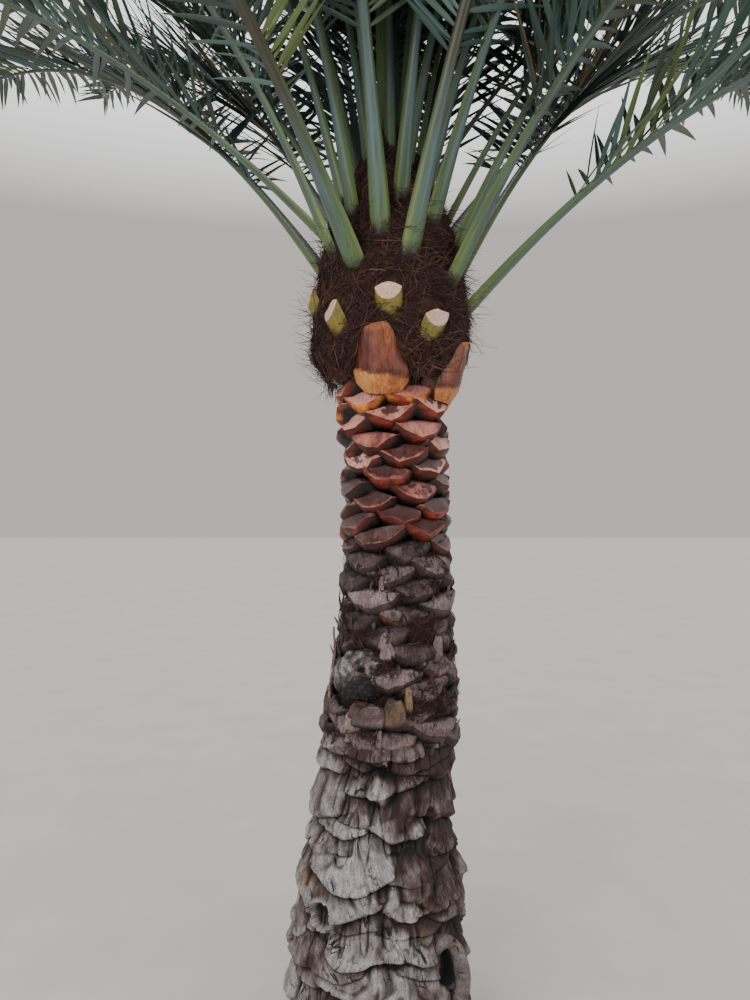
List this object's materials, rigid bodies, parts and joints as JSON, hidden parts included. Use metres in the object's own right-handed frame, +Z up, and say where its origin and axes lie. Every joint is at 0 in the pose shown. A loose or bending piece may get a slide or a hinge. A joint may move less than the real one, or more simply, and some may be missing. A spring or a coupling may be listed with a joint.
{
  "type": "date palm tree",
  "caption": "Young date palm: a stout leaning trunk clad in pruned leaf bases, a fibre collar with cut stubs, and a full crown of arching feather fronds.",
  "frame": {"origin": "centre of the flat cut under the trunk, at ground level", "axes": "+Z up the trunk, -Y the side the tree is seen from, +X to the right of that view"},
  "size_m": [5.8573, 4.5462, 5.1435],
  "materials": {
    "bark": "weathered, cracked leaf bases, fresh cuts pink",
    "fibre": "coarse matted brown fibre",
    "leaf_base": "smooth orange-brown rind, streaked",
    "stub": "moist pale cut with a yellow-green rind",
    "frond": "waxy blue-green leaflets on a smooth rib",
    "spear": "pale folded young leaf"
  },
  "bodies": {
    "root": {"crown_fibre": "fibre", "cut_stub_1": "stub", "cut_stub_2": "stub", "cut_stub_3": "stub", "cut_stub_4": "stub", "cut_stub_5": "stub", "cut_stub_6": "stub", "cut_stub_7": "stub", "cut_stub_8": "stub", "frond_00": "frond", "frond_05": "frond", "frond_06": "frond", "frond_07": "frond", "frond_08": "frond", "frond_09": "frond", "frond_10": "frond", "frond_11": "frond", "frond_12": "frond", "frond_13": "frond", "frond_14": "frond", "frond_15": "frond", "frond_16": "frond", "frond_17": "frond", "frond_18": "frond", "frond_19": "frond", "frond_20": "frond", "frond_21": "frond", "frond_22": "frond", "frond_23": "frond", "frond_24": "frond", "frond_25": "frond", "frond_26": "frond", "frond_27": "frond", "frond_28": "frond", "frond_29": "frond", "frond_30": "frond", "frond_31": "frond", "frond_32": "frond", "frond_33": "frond", "frond_34": "frond", "frond_35": "frond", "frond_36": "frond", "frond_37": "frond", "frond_38": "frond", "frond_39": "frond", "frond_40": "frond", "long_leaf_base_1": "leaf_base", "long_leaf_base_2": "leaf_base", "long_leaf_base_3": "leaf_base", "long_leaf_base_4": "leaf_base", "spear_1": "spear", "spear_2": "spear", "trunk": "bark"}
  },
  "joints": []
}
